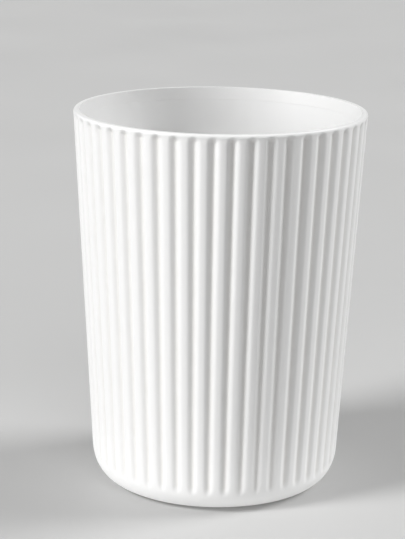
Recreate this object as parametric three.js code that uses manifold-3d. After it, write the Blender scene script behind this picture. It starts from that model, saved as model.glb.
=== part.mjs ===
// Round wastebasket with a fluted wall, a plain foot band and a plain lip.
// Three kinds of piece: the moulded basket, the loose ring that holds a bag, and four rubber foot pads.
// Millimetres, +Z up. The origin is on the ground under the middle of the basket.

import * as THREE from 'three';
import { mergeVertices } from 'three/addons/utils/BufferGeometryUtils.js';
import Module from 'manifold-3d';

// ---- driving dimensions ----

const HEIGHT = 300;            // ground to the top of the lip
const RIM_RADIUS = 115;        // over the ribs, at the lip
const GROUND_RADIUS = 98;      // the same taper carried down to the ground, before the foot is rounded
const PAD_STANDOFF = 1.2;      // the pads hold the moulding this far off the ground
const FOOT_ROUND_WIDTH = 16;   // the rounded foot edge, measured inwards
const FOOT_ROUND_HEIGHT = 24;  // and upwards

const FLUTE_COUNT = 50;
const FLUTE_DEPTH = 2.9;        // at the lip
const FLUTE_DEPTH_AT_GROUND = 1.4;
const FLUTE_TURN = 1.2;        // degrees from the front (-Y) to the nearest rib's crest
const FLUTE_FOOT = 14;         // height where the flutes start to sink in
const FLUTE_FULL = 23;         // height from which they have their full depth
const FLUTE_END = 1;           // they stop this far below the lip
const FLUTE_END_ROUND = 3;     // and run out over this length
const VALLEY_SHARPNESS = 2;    // above 1 the ribs are broad and the valleys are narrow
const LIP_ROUND = 0.6;

const WALL = 4.6;              // from the ribs' crests to the smooth inner face
const FLOOR = 2.6;
const FLOOR_RAISE = 3;         // the middle of the floor is raised off the foot ring
const FLOOR_RAISE_RADIUS = 59;
const FLOOR_RAISE_SLOPE = 3;
const INNER_FOOT_ROUND = 14;

const RING_HEIGHT = 10;
const RING_THICKNESS = 0.9;
const FIT_GAP = 0.3;           // clearance between pieces that touch

const PAD_COUNT = 4;
const PAD_CIRCLE_RADIUS = 71;
const PAD_RADIUS = 7;
const PAD_RECESS_DEPTH = 1.1;
const PAD_EDGE = 0.4;

const INNER_SIDES = 100;       // two facets of the inner face to each flute
const PAD_SIDES = 20;

// ---- solids from geometry, and cuts between them ----

const wasm = await Module();
wasm.setup();

// A closed geometry as a solid. Shared vertices are merged and the faces are turned outwards.
function solid(geometry) {
  const bare = geometry.clone();
  bare.deleteAttribute('normal');
  bare.deleteAttribute('uv');
  const merged = mergeVertices(bare, 1e-4);
  const position = merged.attributes.position;
  const corners = [new THREE.Vector3(), new THREE.Vector3(), new THREE.Vector3()];
  const triangles = [];
  let volume = 0;
  for (let i = 0; i < merged.index.count; i += 3) {
    const [a, b, c] = [0, 1, 2].map((k) => merged.index.getX(i + k));
    if (a === b || b === c || c === a) continue;
    triangles.push([a, b, c]);
    [a, b, c].forEach((vertex, k) => corners[k].fromBufferAttribute(position, vertex));
    volume += corners[0].dot(corners[1].cross(corners[2]));
  }
  const outward = volume > 0 ? triangles : triangles.map(([a, b, c]) => [a, c, b]);
  return new wasm.Manifold(new wasm.Mesh({
    numProp: 3,
    vertProperties: new Float32Array(position.array),
    triVerts: new Uint32Array(outward.flat()),
  }));
}

function geometryOf(manifold) {
  const mesh = manifold.getMesh();
  const geometry = new THREE.BufferGeometry();
  geometry.setAttribute('position', new THREE.BufferAttribute(mesh.vertProperties, 3));
  geometry.setIndex(new THREE.BufferAttribute(mesh.triVerts, 1));
  geometry.computeVertexNormals();
  return geometry;
}

// Turns an outline of [radius, height] points about the Z axis.
function turned(outline, sides) {
  const geometry = new THREE.LatheGeometry(outline.map(([r, z]) => new THREE.Vector2(r, z)), sides);
  return geometry.rotateX(Math.PI / 2);
}

// ---- the basket's shape ----

// Radius over the ribs at a height, without the rounded foot.
function crestRadius(z) {
  return GROUND_RADIUS + (RIM_RADIUS - GROUND_RADIUS) * z / HEIGHT;
}

// The same with the foot rounded by a quarter ellipse.
function outerRadius(z) {
  const top = PAD_STANDOFF + FOOT_ROUND_HEIGHT;
  const below = Math.max(0, (top - z) / FOOT_ROUND_HEIGHT);
  return crestRadius(z) - FOOT_ROUND_WIDTH * (1 - Math.sqrt(1 - below * below));
}

function innerRadius(z) {
  return crestRadius(z) - WALL;
}

// Depth of the flutes at a height: greater towards the lip, and run out at both ends.
function fluteDepth(z) {
  const depth = THREE.MathUtils.lerp(FLUTE_DEPTH_AT_GROUND, FLUTE_DEPTH, z / HEIGHT);
  const foot = THREE.MathUtils.smoothstep(z, FLUTE_FOOT, FLUTE_FULL);
  const end = HEIGHT - FLUTE_END;
  return depth * foot * (1 - THREE.MathUtils.smoothstep(z, end - FLUTE_END_ROUND, end));
}

// Share of the flute depth at a share of one pitch from a crest: 0 on the crest, 1 in the valley.
function fluteShape(share) {
  return ((1 - Math.cos(2 * Math.PI * share)) / 2) ** VALLEY_SHARPNESS;
}

// The outside of the basket as a closed block, made of rings of points joined by strips.
function basketBlock() {
  const pitchShares = [0, 0.22, 0.38, 0.5, 0.62, 0.78];
  const columns = FLUTE_COUNT * pitchShares.length;
  const footHeights = [0, 18, 36, 54].map((degrees) =>
    PAD_STANDOFF + FOOT_ROUND_HEIGHT * (1 - Math.cos(THREE.MathUtils.degToRad(degrees))));
  const end = HEIGHT - FLUTE_END;
  const rings = [
    ...footHeights.map((z) => [z, outerRadius(z)]),
    ...[FLUTE_FOOT, (FLUTE_FOOT + FLUTE_FULL) / 2, FLUTE_FULL].map((z) => [z, outerRadius(z)]),
    ...[end - FLUTE_END_ROUND, end - FLUTE_END_ROUND / 2, end].map((z) => [z, outerRadius(z)]),
    [HEIGHT - LIP_ROUND, crestRadius(HEIGHT)],
    [HEIGHT, crestRadius(HEIGHT) - LIP_ROUND],
  ];
  const points = [];
  for (const [z, radius] of rings) {
    for (let column = 0; column < columns; column += 1) {
      const flute = Math.floor(column / pitchShares.length);
      const share = pitchShares[column % pitchShares.length];
      const turn = THREE.MathUtils.degToRad(FLUTE_TURN + (flute + share) * 360 / FLUTE_COUNT);
      const r = radius - fluteDepth(z) * fluteShape(share);
      points.push(r * Math.sin(turn), -r * Math.cos(turn), z);
    }
  }
  const triangles = [];
  for (let ring = 0; ring + 1 < rings.length; ring += 1) {
    for (let column = 0; column < columns; column += 1) {
      const next = (column + 1) % columns;
      const [a, b] = [ring * columns + column, ring * columns + next];
      const [c, d] = [b + columns, a + columns];
      triangles.push(a, b, c, a, c, d);
    }
  }
  const bottomCentre = points.length / 3;
  points.push(0, 0, PAD_STANDOFF);
  const topCentre = bottomCentre + 1;
  points.push(0, 0, HEIGHT);
  const topRing = (rings.length - 1) * columns;
  for (let column = 0; column < columns; column += 1) {
    const next = (column + 1) % columns;
    triangles.push(bottomCentre, next, column);
    triangles.push(topCentre, topRing + column, topRing + next);
  }
  const geometry = new THREE.BufferGeometry();
  geometry.setAttribute('position', new THREE.Float32BufferAttribute(points, 3));
  geometry.setIndex(triangles);
  return geometry;
}

// The space inside: raised floor, a channel round it, a rounded foot, the wall and the ring's seat.
function cavity() {
  const channel = PAD_STANDOFF + FLOOR;
  const raised = channel + FLOOR_RAISE;
  const ledge = HEIGHT - RING_HEIGHT - FIT_GAP;
  const seatDepth = RING_THICKNESS + FIT_GAP;
  const over = HEIGHT + 5;
  const outline = [
    [0, raised],
    [FLOOR_RAISE_RADIUS, raised],
    [FLOOR_RAISE_RADIUS + FLOOR_RAISE_SLOPE, channel],
  ];
  const roundTop = channel + INNER_FOOT_ROUND;
  for (const degrees of [0, 30, 60, 90]) {
    const angle = THREE.MathUtils.degToRad(degrees);
    outline.push([
      innerRadius(roundTop) - INNER_FOOT_ROUND * (1 - Math.sin(angle)),
      channel + INNER_FOOT_ROUND * (1 - Math.cos(angle)),
    ]);
  }
  outline.push(
    [innerRadius(ledge), ledge],
    [innerRadius(ledge) + seatDepth, ledge],
    [innerRadius(HEIGHT) + seatDepth, HEIGHT],
    [innerRadius(HEIGHT) + seatDepth, over],
    [0, over],
  );
  return turned(outline, INNER_SIDES);
}

// The hollow under the raised floor.
function underFloorHollow() {
  const roof = PAD_STANDOFF + FLOOR_RAISE;
  const radius = FLOOR_RAISE_RADIUS - FLOOR_RAISE_SLOPE;
  return turned([
    [0, -1],
    [radius + FLOOR_RAISE_SLOPE, -1],
    [radius + FLOOR_RAISE_SLOPE, PAD_STANDOFF],
    [radius, roof],
    [0, roof],
  ], INNER_SIDES);
}

function padPlaces() {
  const places = [];
  for (let i = 0; i < PAD_COUNT; i += 1) {
    const angle = 2 * Math.PI * (i + 0.5) / PAD_COUNT;
    places.push([PAD_CIRCLE_RADIUS * Math.cos(angle), PAD_CIRCLE_RADIUS * Math.sin(angle)]);
  }
  return places;
}

// One round seat for a pad, cut up into the foot ring.
function padRecess([x, y]) {
  const radius = PAD_RADIUS + FIT_GAP;
  const top = PAD_STANDOFF + PAD_RECESS_DEPTH;
  return turned([[0, -1], [radius, -1], [radius, top], [0, top]], PAD_SIDES).translate(x, y, 0);
}

function basketGeometry() {
  let basket = solid(basketBlock()).subtract(solid(cavity()));
  basket = basket.subtract(solid(underFloorHollow()));
  for (const place of padPlaces()) {
    basket = basket.subtract(solid(padRecess(place)));
  }
  return geometryOf(basket);
}

// ---- the other pieces ----

// A band that drops into the seat inside the lip, flush with the lip and with the inner face.
function ringGeometry() {
  const bottom = HEIGHT - RING_HEIGHT;
  return turned([
    [innerRadius(bottom), bottom],
    [innerRadius(bottom) + RING_THICKNESS, bottom],
    [innerRadius(HEIGHT) + RING_THICKNESS, HEIGHT],
    [innerRadius(HEIGHT), HEIGHT],
    [innerRadius(bottom), bottom],
  ], INNER_SIDES);
}

function padGeometry([x, y]) {
  const top = PAD_STANDOFF + PAD_RECESS_DEPTH - FIT_GAP;
  return turned([
    [0, 0],
    [PAD_RADIUS - PAD_EDGE, 0],
    [PAD_RADIUS, PAD_EDGE],
    [PAD_RADIUS, top],
    [0, top],
  ], PAD_SIDES).translate(x, y, 0);
}

// ---- materials and assembly ----

const whitePlastic = new THREE.MeshStandardMaterial({ color: 0xf1f1f0, roughness: 0.5, metalness: 0 });
const ringPlastic = new THREE.MeshStandardMaterial({ color: 0xf1f1f0, roughness: 0.45, metalness: 0 });
const padRubber = new THREE.MeshStandardMaterial({ color: 0xb9b9b7, roughness: 0.85, metalness: 0 });

function piece(name, geometry, material) {
  const mesh = new THREE.Mesh(geometry, material);
  mesh.name = name;
  return mesh;
}

const wastebasket = new THREE.Group();
wastebasket.add(piece('basket_body', basketGeometry(), whitePlastic));
wastebasket.add(piece('bag_ring', geometryOf(solid(ringGeometry())), ringPlastic));
padPlaces().forEach((place, i) => {
  wastebasket.add(piece(`foot_pad_${i + 1}`, geometryOf(solid(padGeometry(place))), padRubber));
});

export default wastebasket;
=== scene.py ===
# Looks of the fluted wastebasket: the moulded basket, its loose bag ring, four rubber pads,
# a plain pale floor, soft studio light and the camera. Metres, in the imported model's frame.

import math

import bmesh
import bpy
from mathutils import Matrix, Vector


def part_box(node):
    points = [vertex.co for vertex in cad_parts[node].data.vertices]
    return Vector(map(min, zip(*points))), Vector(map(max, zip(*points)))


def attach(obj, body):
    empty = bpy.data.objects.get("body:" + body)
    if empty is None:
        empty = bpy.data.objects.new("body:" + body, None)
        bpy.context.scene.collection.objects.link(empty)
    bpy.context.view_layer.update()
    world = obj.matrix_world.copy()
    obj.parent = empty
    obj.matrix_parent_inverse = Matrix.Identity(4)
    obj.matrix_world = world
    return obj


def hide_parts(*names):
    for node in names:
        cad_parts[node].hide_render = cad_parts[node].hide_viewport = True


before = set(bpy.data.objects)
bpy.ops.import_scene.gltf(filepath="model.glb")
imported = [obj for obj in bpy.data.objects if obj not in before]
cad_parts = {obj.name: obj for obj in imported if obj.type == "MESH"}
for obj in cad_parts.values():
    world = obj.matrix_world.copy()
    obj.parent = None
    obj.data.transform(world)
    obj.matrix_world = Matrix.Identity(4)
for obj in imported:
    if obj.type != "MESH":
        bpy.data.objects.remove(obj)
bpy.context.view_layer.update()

MM = 0.001

# ---- sizes read from the frame ----

basket_low, basket_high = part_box("basket_body")
ring_low, ring_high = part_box("bag_ring")
HEIGHT = basket_high.z
RIM_RADIUS = basket_high.x
STANDOFF = basket_low.z
RING_BOTTOM = ring_low.z
PAD_NAMES = [f"foot_pad_{i + 1}" for i in range(4)]

# ---- the basket's own sizes ----

GROUND_RADIUS = RIM_RADIUS - 17 * MM
FOOT_ROUND_WIDTH = 16 * MM
FOOT_ROUND_HEIGHT = 24 * MM
WALL = 4.6 * MM
FLOOR = 2.6 * MM
FLOOR_RAISE = 3 * MM
FLOOR_RAISE_RADIUS = 59 * MM
FLOOR_RAISE_SLOPE = 3 * MM
INNER_FOOT_ROUND = 14 * MM
LIP_ROUND_WIDTH = 1.4 * MM
LIP_ROUND_HEIGHT = 2.6 * MM
SEAM_ROUND = 0.04 * MM
SHADING_KEEP = 0.15 * MM
SEAT_DEPTH = 1.2 * MM
SEAT_GAP = 0.05 * MM
RING_THICKNESS = SEAT_DEPTH - SEAT_GAP
PAD_SEAT_GAP = 0.3 * MM
GATE_RADIUS = 4.5 * MM
GATE_HEIGHT = 0.9 * MM
GATE_FLAT = 0.4
GATE_SLOPE = 0.7
PAD_RIM = 0.4 * MM
PAD_GROOVE = 0.35 * MM
PAD_GROOVE_PLACES = (0.35, 0.68)

FLUTE_COUNT = 50
FLUTE_DEPTH = 2.9 * MM
FLUTE_DEPTH_AT_GROUND = 1.4 * MM
FLUTE_TURN = math.radians(1.2)
FLUTE_SHARPNESS = 2.0
FLUTE_FOOT = 14 * MM
FLUTE_FOOT_ARCH = 4 * MM
FLUTE_FOOT_RAMP = 9 * MM
FLUTE_END = HEIGHT - 0.9 * MM
FLUTE_END_ARCH = 3.6 * MM
FLUTE_END_RAMP = 5.2 * MM
ARCH_WIDTH = 0.8
INNER_RIPPLE = 0.1 * MM

# painted shade: how far the valley floors are darkened in the colour, in place of the shade that falls
# in them
VALLEY_PAINTED_SHADE = 0.5
FOOT_DUST = 0.1

STEPS_PER_FLUTE = 16
RING_STEPS = 360
PAD_STEPS = 64
FLOOR_STEPS = 96
FOOT_ANGLE = 62
FOOT_LEVELS = 10
FLUTE_FOOT_LEVELS = 14
WALL_LEVELS = 4
FLUTE_END_LEVELS = 10
LIP_STEPS = 16
LEVEL_GAP = 0.7 * MM
ON_AXIS = 1e-7

# ---- finishes ----

BASKET_WHITE = (0.77, 0.77, 0.767)
# colour mixed in for the painted shade in the valleys, for dust near the foot and for rubbed scuffs
SHADE_AND_DUST_COLOUR = (0.62, 0.60, 0.57)
PAD_GREY = (0.42, 0.42, 0.41)
PAD_DUST = (0.50, 0.49, 0.46)
FLOOR_GREY = (0.50, 0.50, 0.497)
BASKET_ROUGHNESS = 0.46
RING_ROUGHNESS = 0.42
FOOT_WEAR_TOP = 16 * MM
LIP_WEAR_HEIGHT = 3 * MM

# ---- stage ----

FLOOR_RADIUS = 6.0

LIGHT_DISTANCE = 4.0
CARD_HEIGHT = 0.6 * MM
BACKDROP_BRIGHTNESS = 0.62
BACKDROP_LIGHT = 0.02


# ---- outlines: lists of (radius, height) points ----

def arc(centre, size, start, end, steps):
    """Points on an ellipse about a centre, from one angle to another in degrees."""
    points = []
    for i in range(steps + 1):
        angle = math.radians(start + (end - start) * i / steps)
        points.append((centre[0] + size[0] * math.cos(angle), centre[1] + size[1] * math.sin(angle)))
    return points


def stretch(start, end, steps):
    """Points on a straight line, without its two ends. One lies close to each end, which keeps the
    smooth shading of a corner off the flat next to it."""
    near = SHADING_KEEP / math.dist(start, end)
    shares = [near, *(i / steps for i in range(1, steps)), 1 - near]
    return [tuple(a + (b - a) * share for a, b in zip(start, end)) for share in shares]


def crest_radius(z):
    return GROUND_RADIUS + (RIM_RADIUS - GROUND_RADIUS) * z / HEIGHT


def outer_radius(z):
    below = max(0.0, (STANDOFF + FOOT_ROUND_HEIGHT - z) / FOOT_ROUND_HEIGHT)
    return crest_radius(z) - FOOT_ROUND_WIDTH * (1 - math.sqrt(max(0.0, 1 - below * below)))


def inner_radius(z):
    return crest_radius(z) - WALL


def levels(start, end, count):
    return [start + (end - start) * i / count for i in range(count)]


def outer_outline():
    """The outer skin, from the foot's underside up to the lip's rounded edge."""
    heights = [
        STANDOFF + FOOT_ROUND_HEIGHT * (1 - math.cos(math.radians(angle)))
        for angle in levels(0, FOOT_ANGLE, FOOT_LEVELS)
    ]
    flutes_full = FLUTE_FOOT + FLUTE_FOOT_ARCH + FLUTE_FOOT_RAMP
    end_start = FLUTE_END - FLUTE_END_ARCH - FLUTE_END_RAMP
    heights += levels(heights[-1] + LEVEL_GAP, flutes_full, FLUTE_FOOT_LEVELS)
    heights += levels(flutes_full, end_start, WALL_LEVELS)
    lip_start = HEIGHT - LIP_ROUND_HEIGHT
    heights += levels(end_start, lip_start, FLUTE_END_LEVELS)
    points = [(outer_radius(z), z) for z in heights]
    lip_centre = (crest_radius(HEIGHT) - LIP_ROUND_WIDTH, lip_start)
    lip = arc(lip_centre, (LIP_ROUND_WIDTH, LIP_ROUND_HEIGHT), 0, 90, LIP_STEPS)
    seat_edge = (inner_radius(HEIGHT) + SEAT_DEPTH + SEAM_ROUND, HEIGHT)
    return points + lip + stretch(lip[-1], seat_edge, 1)


def inner_outline():
    """From the lip's top down the ring's seat, the inner wall, the foot and the raised floor."""
    ledge = RING_BOTTOM - SEAT_GAP
    seat_top = inner_radius(HEIGHT) + SEAT_DEPTH
    points = arc((seat_top + SEAM_ROUND, HEIGHT - SEAM_ROUND), (SEAM_ROUND, SEAM_ROUND), 90, 180, 3)
    seat_corner = (inner_radius(ledge) + SEAT_DEPTH, ledge)
    ledge_edge = (inner_radius(ledge) + SEAM_ROUND, ledge - SEAM_ROUND)
    edge = arc(ledge_edge, (SEAM_ROUND, SEAM_ROUND), 90, 180, 3)
    points += stretch(points[-1], seat_corner, 1) + [seat_corner]
    points += stretch(seat_corner, edge[0], 1) + edge
    channel = STANDOFF + FLOOR
    raised = channel + FLOOR_RAISE
    round_top = channel + INNER_FOOT_ROUND
    foot_centre = (inner_radius(round_top) - INNER_FOOT_ROUND, round_top)
    foot = arc(foot_centre, (INNER_FOOT_ROUND, INNER_FOOT_ROUND), 0, -90, 10)
    points += stretch(points[-1], foot[0], 4) + foot
    slope_end = FLOOR_RAISE_RADIUS + FLOOR_RAISE_SLOPE
    points += stretch(foot[-1], (slope_end, channel), 1)
    points += smooth_step_outline((slope_end, channel), (FLOOR_RAISE_RADIUS, raised), 6)
    return points + stretch((FLOOR_RAISE_RADIUS, raised), (0, raised), 2) + [(0, raised)]


def smooth_step_outline(start, end, steps):
    """A soft S from one level to another."""
    points = []
    for i in range(steps + 1):
        t = i / steps
        s = t * t * (3 - 2 * t)
        points.append((start[0] + (end[0] - start[0]) * t, start[1] + (end[1] - start[1]) * s))
    return points


def underside_outline():
    """From the gate mark in the middle of the base out to the foot ring."""
    roof = STANDOFF + FLOOR_RAISE
    gate_bottom = roof - GATE_HEIGHT
    points = [(0, gate_bottom), (GATE_RADIUS * GATE_FLAT, gate_bottom)]
    points += smooth_step_outline((GATE_RADIUS * GATE_SLOPE, gate_bottom), (GATE_RADIUS, roof), 4)
    points += stretch((GATE_RADIUS, roof), (FLOOR_RAISE_RADIUS - FLOOR_RAISE_SLOPE, roof), 2)
    slope_start = (FLOOR_RAISE_RADIUS - FLOOR_RAISE_SLOPE, roof)
    points += smooth_step_outline(slope_start, (FLOOR_RAISE_RADIUS, STANDOFF), 6)
    return points + stretch((FLOOR_RAISE_RADIUS, STANDOFF), (outer_radius(STANDOFF), STANDOFF), 1)


# ---- meshes from outlines ----

def turn_outline(name, outline, steps, centre=(0.0, 0.0), first_angle=0.0, closed=False):
    """Turns an outline about a vertical axis. An end on the axis closes in one point."""
    mesh = bpy.data.meshes.new(name)
    points, rows = [], []
    for radius, z in outline:
        if radius < ON_AXIS:
            rows.append([len(points)] * steps)
            points.append((centre[0], centre[1], z))
            continue
        rows.append(list(range(len(points), len(points) + steps)))
        for step in range(steps):
            angle = first_angle + 2 * math.pi * step / steps
            across, along = radius * math.sin(angle), radius * math.cos(angle)
            points.append((centre[0] + across, centre[1] - along, z))
    faces = []
    pairs = list(zip(rows, rows[1:])) + ([(rows[-1], rows[0])] if closed else [])
    for lower, upper in pairs:
        for step in range(steps):
            following = (step + 1) % steps
            corners = [lower[step], lower[following], upper[following], upper[step]]
            faces.append(list(dict.fromkeys(corners)))
    mesh.from_pydata(points, [], faces)
    mesh.update()
    piece = bpy.data.objects.new(name, mesh)
    bpy.context.scene.collection.objects.link(piece)
    face_outwards(mesh)
    mesh.shade_smooth()
    return piece


def face_outwards(mesh):
    work = bmesh.new()
    work.from_mesh(mesh)
    bmesh.ops.recalc_face_normals(work, faces=work.faces)
    work.to_mesh(mesh)
    work.free()


def bake_modifiers(piece):
    """Replaces a piece's mesh by what its modifiers make of it, and removes them."""
    depsgraph = bpy.context.evaluated_depsgraph_get()
    finished = bpy.data.meshes.new_from_object(
        piece.evaluated_get(depsgraph), preserve_all_data_layers=True, depsgraph=depsgraph
    )
    piece.modifiers.clear()
    piece.data = finished


# ---- node trees ----

class Rule:
    """Adds arithmetic nodes to a node tree, so that a rule reads as a formula."""

    def __init__(self, tree):
        self.tree = tree

    def node(self, kind, inputs=None, **settings):
        made = self.tree.nodes.new(kind)
        for setting, value in settings.items():
            setattr(made, setting, value)
        for key, value in (inputs or {}).items():
            self.feed(made.inputs[key], value)
        return made

    def feed(self, socket, value):
        if isinstance(value, bpy.types.NodeSocket):
            self.tree.links.new(value, socket)
        else:
            socket.default_value = value

    def math(self, operation, *values):
        made = self.tree.nodes.new("ShaderNodeMath")
        made.operation = operation
        for socket, value in zip(made.inputs, values):
            self.feed(socket, value)
        return made.outputs[0]

    def add(self, a, b):
        return self.math("ADD", a, b)

    def subtract(self, a, b):
        return self.math("SUBTRACT", a, b)

    def multiply(self, a, b):
        return self.math("MULTIPLY", a, b)

    def divide(self, a, b):
        return self.math("DIVIDE", a, b)

    def power(self, a, b):
        return self.math("POWER", a, b)

    def ease(self, value):
        """0 to 1 with soft ends, for a value running from 0 to 1."""
        made = self.node("ShaderNodeMapRange", {"Value": value}, interpolation_type="SMOOTHSTEP")
        return made.outputs["Result"]


def flute_tree():
    """Sinks the flutes into the outer skin: a share of one pitch gives the depth, and each valley
    ends in a round arch under the lip and in a tongue above the foot band."""
    tree = bpy.data.node_groups.new("flutes", "GeometryNodeTree")
    sockets = [
        ("Geometry", "NodeSocketGeometry"),
        ("Flute Count", "NodeSocketFloat"),
        ("Flute Depth", "NodeSocketFloat"),
        ("Depth At Ground", "NodeSocketFloat"),
        ("Lip Height", "NodeSocketFloat"),
        ("Flute Turn", "NodeSocketFloat"),
        ("Valley Sharpness", "NodeSocketFloat"),
        ("Foot Height", "NodeSocketFloat"),
        ("Foot Arch", "NodeSocketFloat"),
        ("Foot Ramp", "NodeSocketFloat"),
        ("End Height", "NodeSocketFloat"),
        ("End Arch", "NodeSocketFloat"),
        ("End Ramp", "NodeSocketFloat"),
        ("Arch Width", "NodeSocketFloat"),
        ("Inner Ripple", "NodeSocketFloat"),
        ("Material", "NodeSocketMaterial"),
    ]
    for label, kind in sockets:
        tree.interface.new_socket(name=label, in_out="INPUT", socket_type=kind)
    tree.interface.new_socket(name="Geometry", in_out="OUTPUT", socket_type="NodeSocketGeometry")
    rule = Rule(tree)
    given = rule.node("NodeGroupInput").outputs

    place = rule.node("GeometryNodeInputPosition").outputs[0]
    parts = rule.node("ShaderNodeSeparateXYZ", {0: place}).outputs
    around = rule.math("ARCTAN2", parts["X"], rule.multiply(parts["Y"], -1.0))
    pitches = rule.divide(
        rule.multiply(rule.subtract(around, given["Flute Turn"]), given["Flute Count"]), 2 * math.pi
    )
    share = rule.math("FRACT", pitches)
    wave = rule.math("COSINE", rule.multiply(share, 2 * math.pi))
    shape = rule.power(rule.multiply(rule.subtract(1.0, wave), 0.5), given["Valley Sharpness"])

    off_centre = rule.multiply(rule.math("ABSOLUTE", rule.subtract(share, 0.5)), 2.0)
    off_valley = rule.math("MINIMUM", rule.divide(off_centre, given["Arch Width"]), 1.0)
    flatness = rule.math("SQRT", rule.subtract(1.0, rule.multiply(off_valley, off_valley)))
    arch = rule.subtract(1.0, flatness)
    end_line = rule.subtract(given["End Height"], rule.multiply(arch, given["End Arch"]))
    end_share = rule.ease(rule.divide(rule.subtract(end_line, parts["Z"]), given["End Ramp"]))
    foot_line = rule.add(given["Foot Height"], rule.multiply(arch, given["Foot Arch"]))
    foot_share = rule.ease(rule.divide(rule.subtract(parts["Z"], foot_line), given["Foot Ramp"]))
    hollow = rule.multiply(shape, rule.multiply(end_share, foot_share))

    outer = named_number(rule, "outer_skin")
    inner = named_number(rule, "inner_skin")
    outer_hollow = rule.multiply(hollow, outer)
    depth_gain = rule.subtract(given["Flute Depth"], given["Depth At Ground"])
    risen = rule.divide(parts["Z"], given["Lip Height"])
    depth = rule.add(given["Depth At Ground"], rule.multiply(depth_gain, risen))
    inward = rule.add(
        rule.multiply(outer_hollow, depth),
        rule.multiply(rule.multiply(shape, inner), given["Inner Ripple"]),
    )
    flat = rule.node("ShaderNodeCombineXYZ", {"X": parts["X"], "Y": parts["Y"]}).outputs[0]
    radial = rule.node("ShaderNodeVectorMath", {0: flat}, operation="NORMALIZE").outputs[0]
    offset = rule.node(
        "ShaderNodeVectorMath", {0: radial, "Scale": rule.multiply(inward, -1.0)}, operation="SCALE"
    ).outputs[0]

    stored = rule.node(
        "GeometryNodeStoreNamedAttribute",
        {"Geometry": given["Geometry"], "Name": "valley", "Value": outer_hollow},
        data_type="FLOAT",
        domain="POINT",
    ).outputs[0]
    moved = rule.node("GeometryNodeSetPosition", {"Geometry": stored, "Offset": offset}).outputs[0]
    real = rule.node("GeometryNodeRealizeInstances", {"Geometry": moved}).outputs[0]
    painted = rule.node(
        "GeometryNodeSetMaterial", {"Geometry": real, "Material": given["Material"]}
    ).outputs[0]
    rule.node("NodeGroupOutput", {"Geometry": painted})
    return tree


def named_number(rule, name):
    made = rule.node("GeometryNodeInputNamedAttribute", {"Name": name}, data_type="FLOAT")
    return made.outputs["Attribute"]


def add_geometry_nodes(piece, tree, values):
    modifier = piece.modifiers.new(tree.name, "NODES")
    modifier.node_group = tree
    for item in tree.interface.items_tree:
        if item.item_type == "SOCKET" and item.in_out == "INPUT" and item.name in values:
            modifier[item.identifier] = values[item.name]
    return modifier


# ---- materials ----

def new_material(name, colour, roughness, specular):
    material = bpy.data.materials.new(name)
    material.use_nodes = True
    shader = material.node_tree.nodes["Principled BSDF"]
    shader.inputs["Base Color"].default_value = (*colour, 1.0)
    shader.inputs["Roughness"].default_value = roughness
    shader.inputs["Specular IOR Level"].default_value = specular
    return material, shader, Rule(material.node_tree)


def noise(rule, place, scale, detail=2.0, roughness=0.5):
    made = rule.node(
        "ShaderNodeTexNoise",
        {"Vector": place, "Scale": scale, "Detail": detail, "Roughness": roughness},
    )
    return made.outputs["Fac"]


def stretched(rule, place, scale):
    return rule.node("ShaderNodeMapping", {"Vector": place, "Scale": scale}).outputs["Vector"]


def spread(rule, value, low, high, new_low, new_high):
    made = rule.node(
        "ShaderNodeMapRange",
        {"Value": value, "From Min": low, "From Max": high, "To Min": new_low, "To Max": new_high},
    )
    return made.outputs["Result"]


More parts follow.
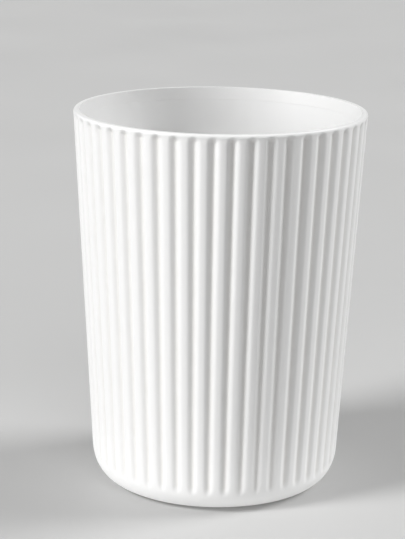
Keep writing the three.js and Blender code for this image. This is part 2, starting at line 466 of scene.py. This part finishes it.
def moulded_plastic(name, colour, roughness):
    """Satin injection-moulded polypropylene: fine spark grain, soft unevenness of the wall, draw
    marks along the axis, a few rubbed scuffs, painted shade that darkens the valley floors, and a
    trace of dust at the foot."""
    material, shader, rule = new_material(name, colour, roughness, 0.45)
    shader.inputs["IOR"].default_value = 1.49
    place = rule.node("ShaderNodeTexCoord").outputs["Object"]
    height = rule.node("ShaderNodeSeparateXYZ", {0: place}).outputs["Z"]
    valley = rule.node("ShaderNodeAttribute", attribute_name="valley").outputs["Fac"]

    grain = noise(rule, place, 2600.0, 2.0)
    unevenness = noise(rule, place, 28.0, 2.0)
    draw_marks = noise(rule, stretched(rule, place, (900.0, 900.0, 14.0)), 1.0, 3.0)
    scuff_field = noise(rule, stretched(rule, place, (60.0, 60.0, 900.0)), 1.0, 4.0, 0.65)
    scuff_patches = noise(rule, place, 18.0, 2.0)

    near_foot = spread(rule, height, STANDOFF, FOOT_WEAR_TOP, 1.0, 0.0)
    near_lip = spread(rule, height, HEIGHT - LIP_WEAR_HEIGHT, HEIGHT, 0.0, 1.0)
    worn = rule.math("MAXIMUM", near_foot, near_lip)
    scuff_marks = spread(rule, scuff_field, 0.60, 0.72, 0.0, 1.0)
    scuffed_areas = spread(rule, scuff_patches, 0.45, 0.65, 0.0, 1.0)
    rubbing = rule.add(rule.multiply(worn, 0.8), 0.2)
    scuffs = rule.multiply(scuff_marks, rule.multiply(scuffed_areas, rubbing))
    # painted shade darkening the valley floors, plus real dust near the foot; it also roughens the
    # surface below
    valley_shade_and_foot_dust = rule.multiply(
        spread(rule, noise(rule, place, 95.0, 3.0), 0.3, 0.75, 0.6, 1.0),
        rule.add(
            rule.multiply(rule.power(valley, 2.0), VALLEY_PAINTED_SHADE), rule.multiply(near_foot, FOOT_DUST)
        ),
    )
    # mix of painted valley shade, foot dust and scuffs, blended towards the shade-and-dust colour
    tint = rule.math("MAXIMUM", valley_shade_and_foot_dust, rule.multiply(scuffs, 0.12))
    mixed = rule.node("ShaderNodeMix", data_type="RGBA")
    rule.feed(mixed.inputs["Factor"], tint)
    rule.feed(mixed.inputs[6], (*colour, 1.0))
    rule.feed(mixed.inputs[7], (*SHADE_AND_DUST_COLOUR, 1.0))
    rule.feed(shader.inputs["Base Color"], mixed.outputs[2])

    gloss = rule.add(roughness, rule.multiply(rule.subtract(unevenness, 0.5), 0.10))
    gloss = rule.add(gloss, rule.multiply(rule.subtract(draw_marks, 0.5), 0.08))
    gloss = rule.add(gloss, rule.multiply(scuffs, 0.15))
    gloss = rule.add(gloss, rule.multiply(valley_shade_and_foot_dust, 0.3))
    rule.feed(shader.inputs["Roughness"], gloss)

    fine = rule.node("ShaderNodeBump", {"Strength": 0.35, "Distance": 0.00004, "Height": grain})
    drawn = rule.node(
        "ShaderNodeBump",
        {"Strength": 0.3, "Distance": 0.00006, "Height": draw_marks, "Normal": fine.outputs[0]},
    )
    soft = rule.node(
        "ShaderNodeBump",
        {"Strength": 0.5, "Distance": 0.0004, "Height": unevenness, "Normal": drawn.outputs[0]},
    )
    rule.feed(shader.inputs["Normal"], soft.outputs[0])
    return material


def pad_rubber():
    """Matt moulded rubber with a pebbled grain and blotches of dust."""
    material, shader, rule = new_material("pad_rubber", PAD_GREY, 0.85, 0.3)
    place = rule.node("ShaderNodeTexCoord").outputs["Object"]
    pebbles = rule.node("ShaderNodeTexVoronoi", {"Vector": place, "Scale": 1900.0}).outputs["Distance"]
    blotches = noise(rule, place, 300.0, 3.0)
    mixed = rule.node("ShaderNodeMix", data_type="RGBA")
    rule.feed(mixed.inputs["Factor"], spread(rule, blotches, 0.35, 0.7, 0.0, 0.5))
    rule.feed(mixed.inputs[6], (*PAD_GREY, 1.0))
    rule.feed(mixed.inputs[7], (*PAD_DUST, 1.0))
    rule.feed(shader.inputs["Base Color"], mixed.outputs[2])
    rule.feed(shader.inputs["Roughness"], spread(rule, blotches, 0.3, 0.7, 0.78, 0.92))
    bump = rule.node("ShaderNodeBump", {"Strength": 0.6, "Distance": 0.00012, "Height": pebbles})
    rule.feed(shader.inputs["Normal"], bump.outputs[0])
    return material


def floor_paint():
    material, shader, rule = new_material("pale_floor", FLOOR_GREY, 0.6, 0.3)
    place = rule.node("ShaderNodeTexCoord").outputs["Object"]
    cloud = noise(rule, place, 3.0, 3.0)
    rule.feed(shader.inputs["Roughness"], spread(rule, cloud, 0.3, 0.7, 0.55, 0.65))
    return material


# ---- pieces ----

def mark_skins(mesh):
    """Point values that tell the fluted outer skin and the inner wall from the rest."""
    outer = mesh.attributes.new("outer_skin", "FLOAT", "POINT")
    inner = mesh.attributes.new("inner_skin", "FLOAT", "POINT")
    inner_foot = STANDOFF + FLOOR + INNER_FOOT_ROUND
    for vertex, outer_value, inner_value in zip(mesh.vertices, outer.data, inner.data):
        z = vertex.co.z
        radius = vertex.co.xy.length
        outer_value.value = float(radius > inner_radius(z) + 0.6 * WALL and z > STANDOFF)
        inside = abs(radius - inner_radius(z)) < 0.2 * MM
        inner_value.value = float(inside and inner_foot < z < RING_BOTTOM - 1 * MM)


def make_basket(material):
    outline = underside_outline() + outer_outline() + inner_outline()
    steps = FLUTE_COUNT * STEPS_PER_FLUTE
    basket = turn_outline("moulded_basket", outline, steps, first_angle=FLUTE_TURN)
    seats = [make_pad_seat(name) for name in PAD_NAMES]
    for seat in seats:
        cut = basket.modifiers.new("pad seat", "BOOLEAN")
        cut.operation = "DIFFERENCE"
        cut.solver = "EXACT"
        cut.object = seat
    bake_modifiers(basket)
    for seat in seats:
        bpy.data.objects.remove(seat)
    mark_skins(basket.data)
    add_geometry_nodes(
        basket,
        flute_tree(),
        {
            "Flute Count": float(FLUTE_COUNT),
            "Flute Depth": FLUTE_DEPTH,
            "Depth At Ground": FLUTE_DEPTH_AT_GROUND,
            "Lip Height": HEIGHT,
            "Flute Turn": FLUTE_TURN,
            "Valley Sharpness": FLUTE_SHARPNESS,
            "Foot Height": FLUTE_FOOT,
            "Foot Arch": FLUTE_FOOT_ARCH,
            "Foot Ramp": FLUTE_FOOT_RAMP,
            "End Height": FLUTE_END,
            "End Arch": FLUTE_END_ARCH,
            "End Ramp": FLUTE_END_RAMP,
            "Arch Width": ARCH_WIDTH,
            "Inner Ripple": INNER_RIPPLE,
            "Material": material,
        },
    )
    bake_modifiers(basket)
    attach(basket, "basket")
    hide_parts("basket_body")
    return basket


def pad_place(name):
    low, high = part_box(name)
    centre = (low + high) / 2
    return centre, (high.x - low.x) / 2, high.z


def make_pad_seat(name):
    centre, radius, top = pad_place(name)
    radius += PAD_SEAT_GAP
    top += PAD_SEAT_GAP
    outline = [(0, -MM), (radius, -MM), (radius, top), (0, top)]
    return turn_outline(f"{name}_seat", outline, PAD_STEPS, centre=centre.xy)


def make_ring(material):
    """The loose ring: flush with the lip on top and with the wall inside, its edges eased."""
    ease = SEAM_ROUND
    inner_top = inner_radius(HEIGHT)
    inner_bottom = inner_radius(RING_BOTTOM)
    corners = [
        ((inner_bottom + RING_THICKNESS, RING_BOTTOM), (-1, 1), -90),
        ((inner_top + RING_THICKNESS, HEIGHT), (-1, -1), 0),
        ((inner_top, HEIGHT), (1, -1), 90),
        ((inner_bottom, RING_BOTTOM), (1, 1), 180),
    ]
    rounds = []
    for corner, inward, start in corners:
        centre = (corner[0] + ease * inward[0], corner[1] + ease * inward[1])
        rounds.append(arc(centre, (ease, ease), start, start + 90, 4))
    outline = []
    for this, following in zip(rounds, rounds[1:] + rounds[:1]):
        outline += this + stretch(this[-1], following[0], 1)
    ring = turn_outline("loose_bag_ring", outline, RING_STEPS, closed=True)
    ring.data.materials.append(material)
    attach(ring, "ring")
    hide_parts("bag_ring")
    return ring


def make_pad(name, material):
    """A rubber disc with an eased rim and two grip grooves on its underside."""
    centre, radius, top = pad_place(name)
    rim = PAD_RIM
    groove = PAD_GROOVE
    outline = [(0, 0)]
    for place in PAD_GROOVE_PLACES:
        middle = radius * place
        outline += [(middle - 2 * groove, 0)]
        outline += arc((middle, 0), (groove * 1.5, groove), 180, 0, 6)
        outline += [(middle + 2 * groove, 0)]
    outline += arc((radius - rim, rim), (rim, rim), -90, 0, 5)
    outline += arc((radius - rim / 2, top - rim / 2), (rim / 2, rim / 2), 0, 90, 3)
    outline += [(0, top)]
    pad = turn_outline(f"grip_pad_{name[-1]}", outline, PAD_STEPS, centre=centre.xy)
    pad.data.materials.append(material)
    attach(pad, "basket")
    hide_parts(name)
    return pad


# ---- stage, light and camera ----

def make_floor():
    floor = turn_outline("floor", [(FLOOR_RADIUS, 0.0), (0.0, 0.0)], FLOOR_STEPS)
    floor.data.materials.append(floor_paint())
    if floor.data.polygons[0].normal.z < 0:
        floor.data.flip_normals()


def make_soft_light(name, azimuth, elevation, width, strength):
    """A distant soft box that looks as wide as the given angle, so the floor is lit evenly.
    Azimuth 0 is in front and 90 is to the right, in degrees."""
    data = bpy.data.lights.new(name, "SUN")
    data.angle = math.radians(width)
    data.energy = strength
    light = bpy.data.objects.new(name, data)
    bpy.context.scene.collection.objects.link(light)
    turn, rise = math.radians(azimuth), math.radians(elevation)
    towards = Vector(
        (math.sin(turn) * math.cos(rise), -math.cos(turn) * math.cos(rise), math.sin(rise))
    )
    light.location = towards * LIGHT_DISTANCE
    light.rotation_euler = towards.to_track_quat("Z", "Y").to_euler()


def make_bounce_card(width, power):
    """Light thrown up at the foot, as from a round white card that the basket stands on."""
    data = bpy.data.lights.new("bounce_card", "AREA")
    data.shape = "DISK"
    data.size = width
    data.energy = power
    card = bpy.data.objects.new("bounce_card", data)
    bpy.context.scene.collection.objects.link(card)
    card.location = (0.0, 0.0, CARD_HEIGHT)
    card.rotation_euler = (math.pi, 0.0, 0.0)
    card.visible_camera = False


def make_lights():
    """A pale backdrop that gives little light itself, and soft boxes that light the basket."""
    world = bpy.data.worlds.new("studio")
    world.use_nodes = True
    background = world.node_tree.nodes["Background"]
    background.inputs["Color"].default_value = (1.0, 1.0, 0.995, 1.0)
    rule = Rule(world.node_tree)
    seen = rule.node("ShaderNodeLightPath").outputs["Is Camera Ray"]
    strength = spread(rule, seen, 0.0, 1.0, BACKDROP_LIGHT, BACKDROP_BRIGHTNESS)
    rule.feed(background.inputs["Strength"], strength)
    bpy.context.scene.world = world
    make_soft_light("key", azimuth=-63, elevation=39, width=18, strength=2.4)
    make_soft_light("low_key", azimuth=-63, elevation=7, width=20, strength=1.1)
    make_soft_light("rear_fill", azimuth=103, elevation=34, width=26, strength=2.42)
    make_soft_light("front_fill", azimuth=17, elevation=35, width=40, strength=0.66)
    make_soft_light("top_fill", azimuth=0, elevation=85, width=40, strength=0.5)
    make_bounce_card(width=0.34, power=0.092)
    bpy.context.scene.view_settings.view_transform = "Standard"


def make_camera():
    distance = 1.3925
    height = 0.5326
    tilt_down = math.radians(14.59)
    pan = math.radians(0.5)
    roll = math.radians(0.96)
    data = bpy.data.cameras.new("camera")
    data.lens = 120.2
    data.sensor_width = 36.0
    camera = bpy.data.objects.new("camera", data)
    bpy.context.scene.collection.objects.link(camera)
    turn = (
        Matrix.Rotation(pan, 4, "Z")
        @ Matrix.Rotation(math.pi / 2 - tilt_down, 4, "X")
        @ Matrix.Rotation(roll, 4, "Z")
    )
    camera.matrix_world = Matrix.Translation((0.0, -distance, height)) @ turn
    bpy.context.scene.camera = camera


make_camera()
make_basket(moulded_plastic("basket_plastic", BASKET_WHITE, BASKET_ROUGHNESS))
make_ring(moulded_plastic("ring_plastic", BASKET_WHITE, RING_ROUGHNESS))
rubber = pad_rubber()
for pad_name in PAD_NAMES:
    make_pad(pad_name, rubber)
make_floor()
make_lights()
